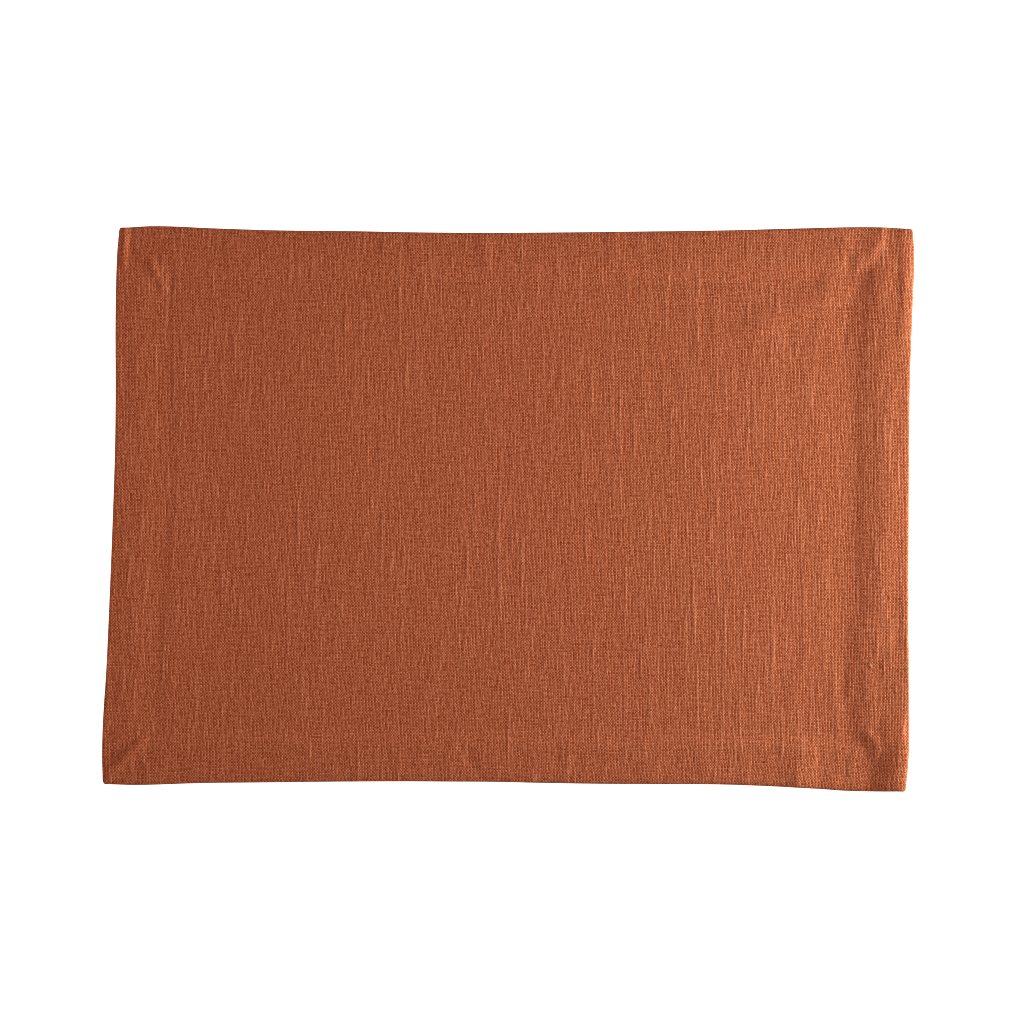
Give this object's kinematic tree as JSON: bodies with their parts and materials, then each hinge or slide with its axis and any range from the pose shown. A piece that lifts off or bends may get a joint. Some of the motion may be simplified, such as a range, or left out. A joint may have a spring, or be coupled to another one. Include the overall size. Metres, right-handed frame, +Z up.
{
  "type": "fabric placemat",
  "caption": "Flat rectangular table mat of rust-coloured slub linen with a wide turned-under hem and mitred corners, which protects a table under a place setting.",
  "frame": {"origin": "on the table, under the middle of the mat's outline", "axes": "+X along the long side to the right, +Y along the short side to the far edge, +Z up out of the mat's face"},
  "size_m": [0.5052, 0.356, 0.0033],
  "materials": {
    "rust_linen": "matt plain weave with thick and thin threads"
  },
  "bodies": {
    "root": {"placemat_cloth": "rust_linen"}
  },
  "joints": []
}
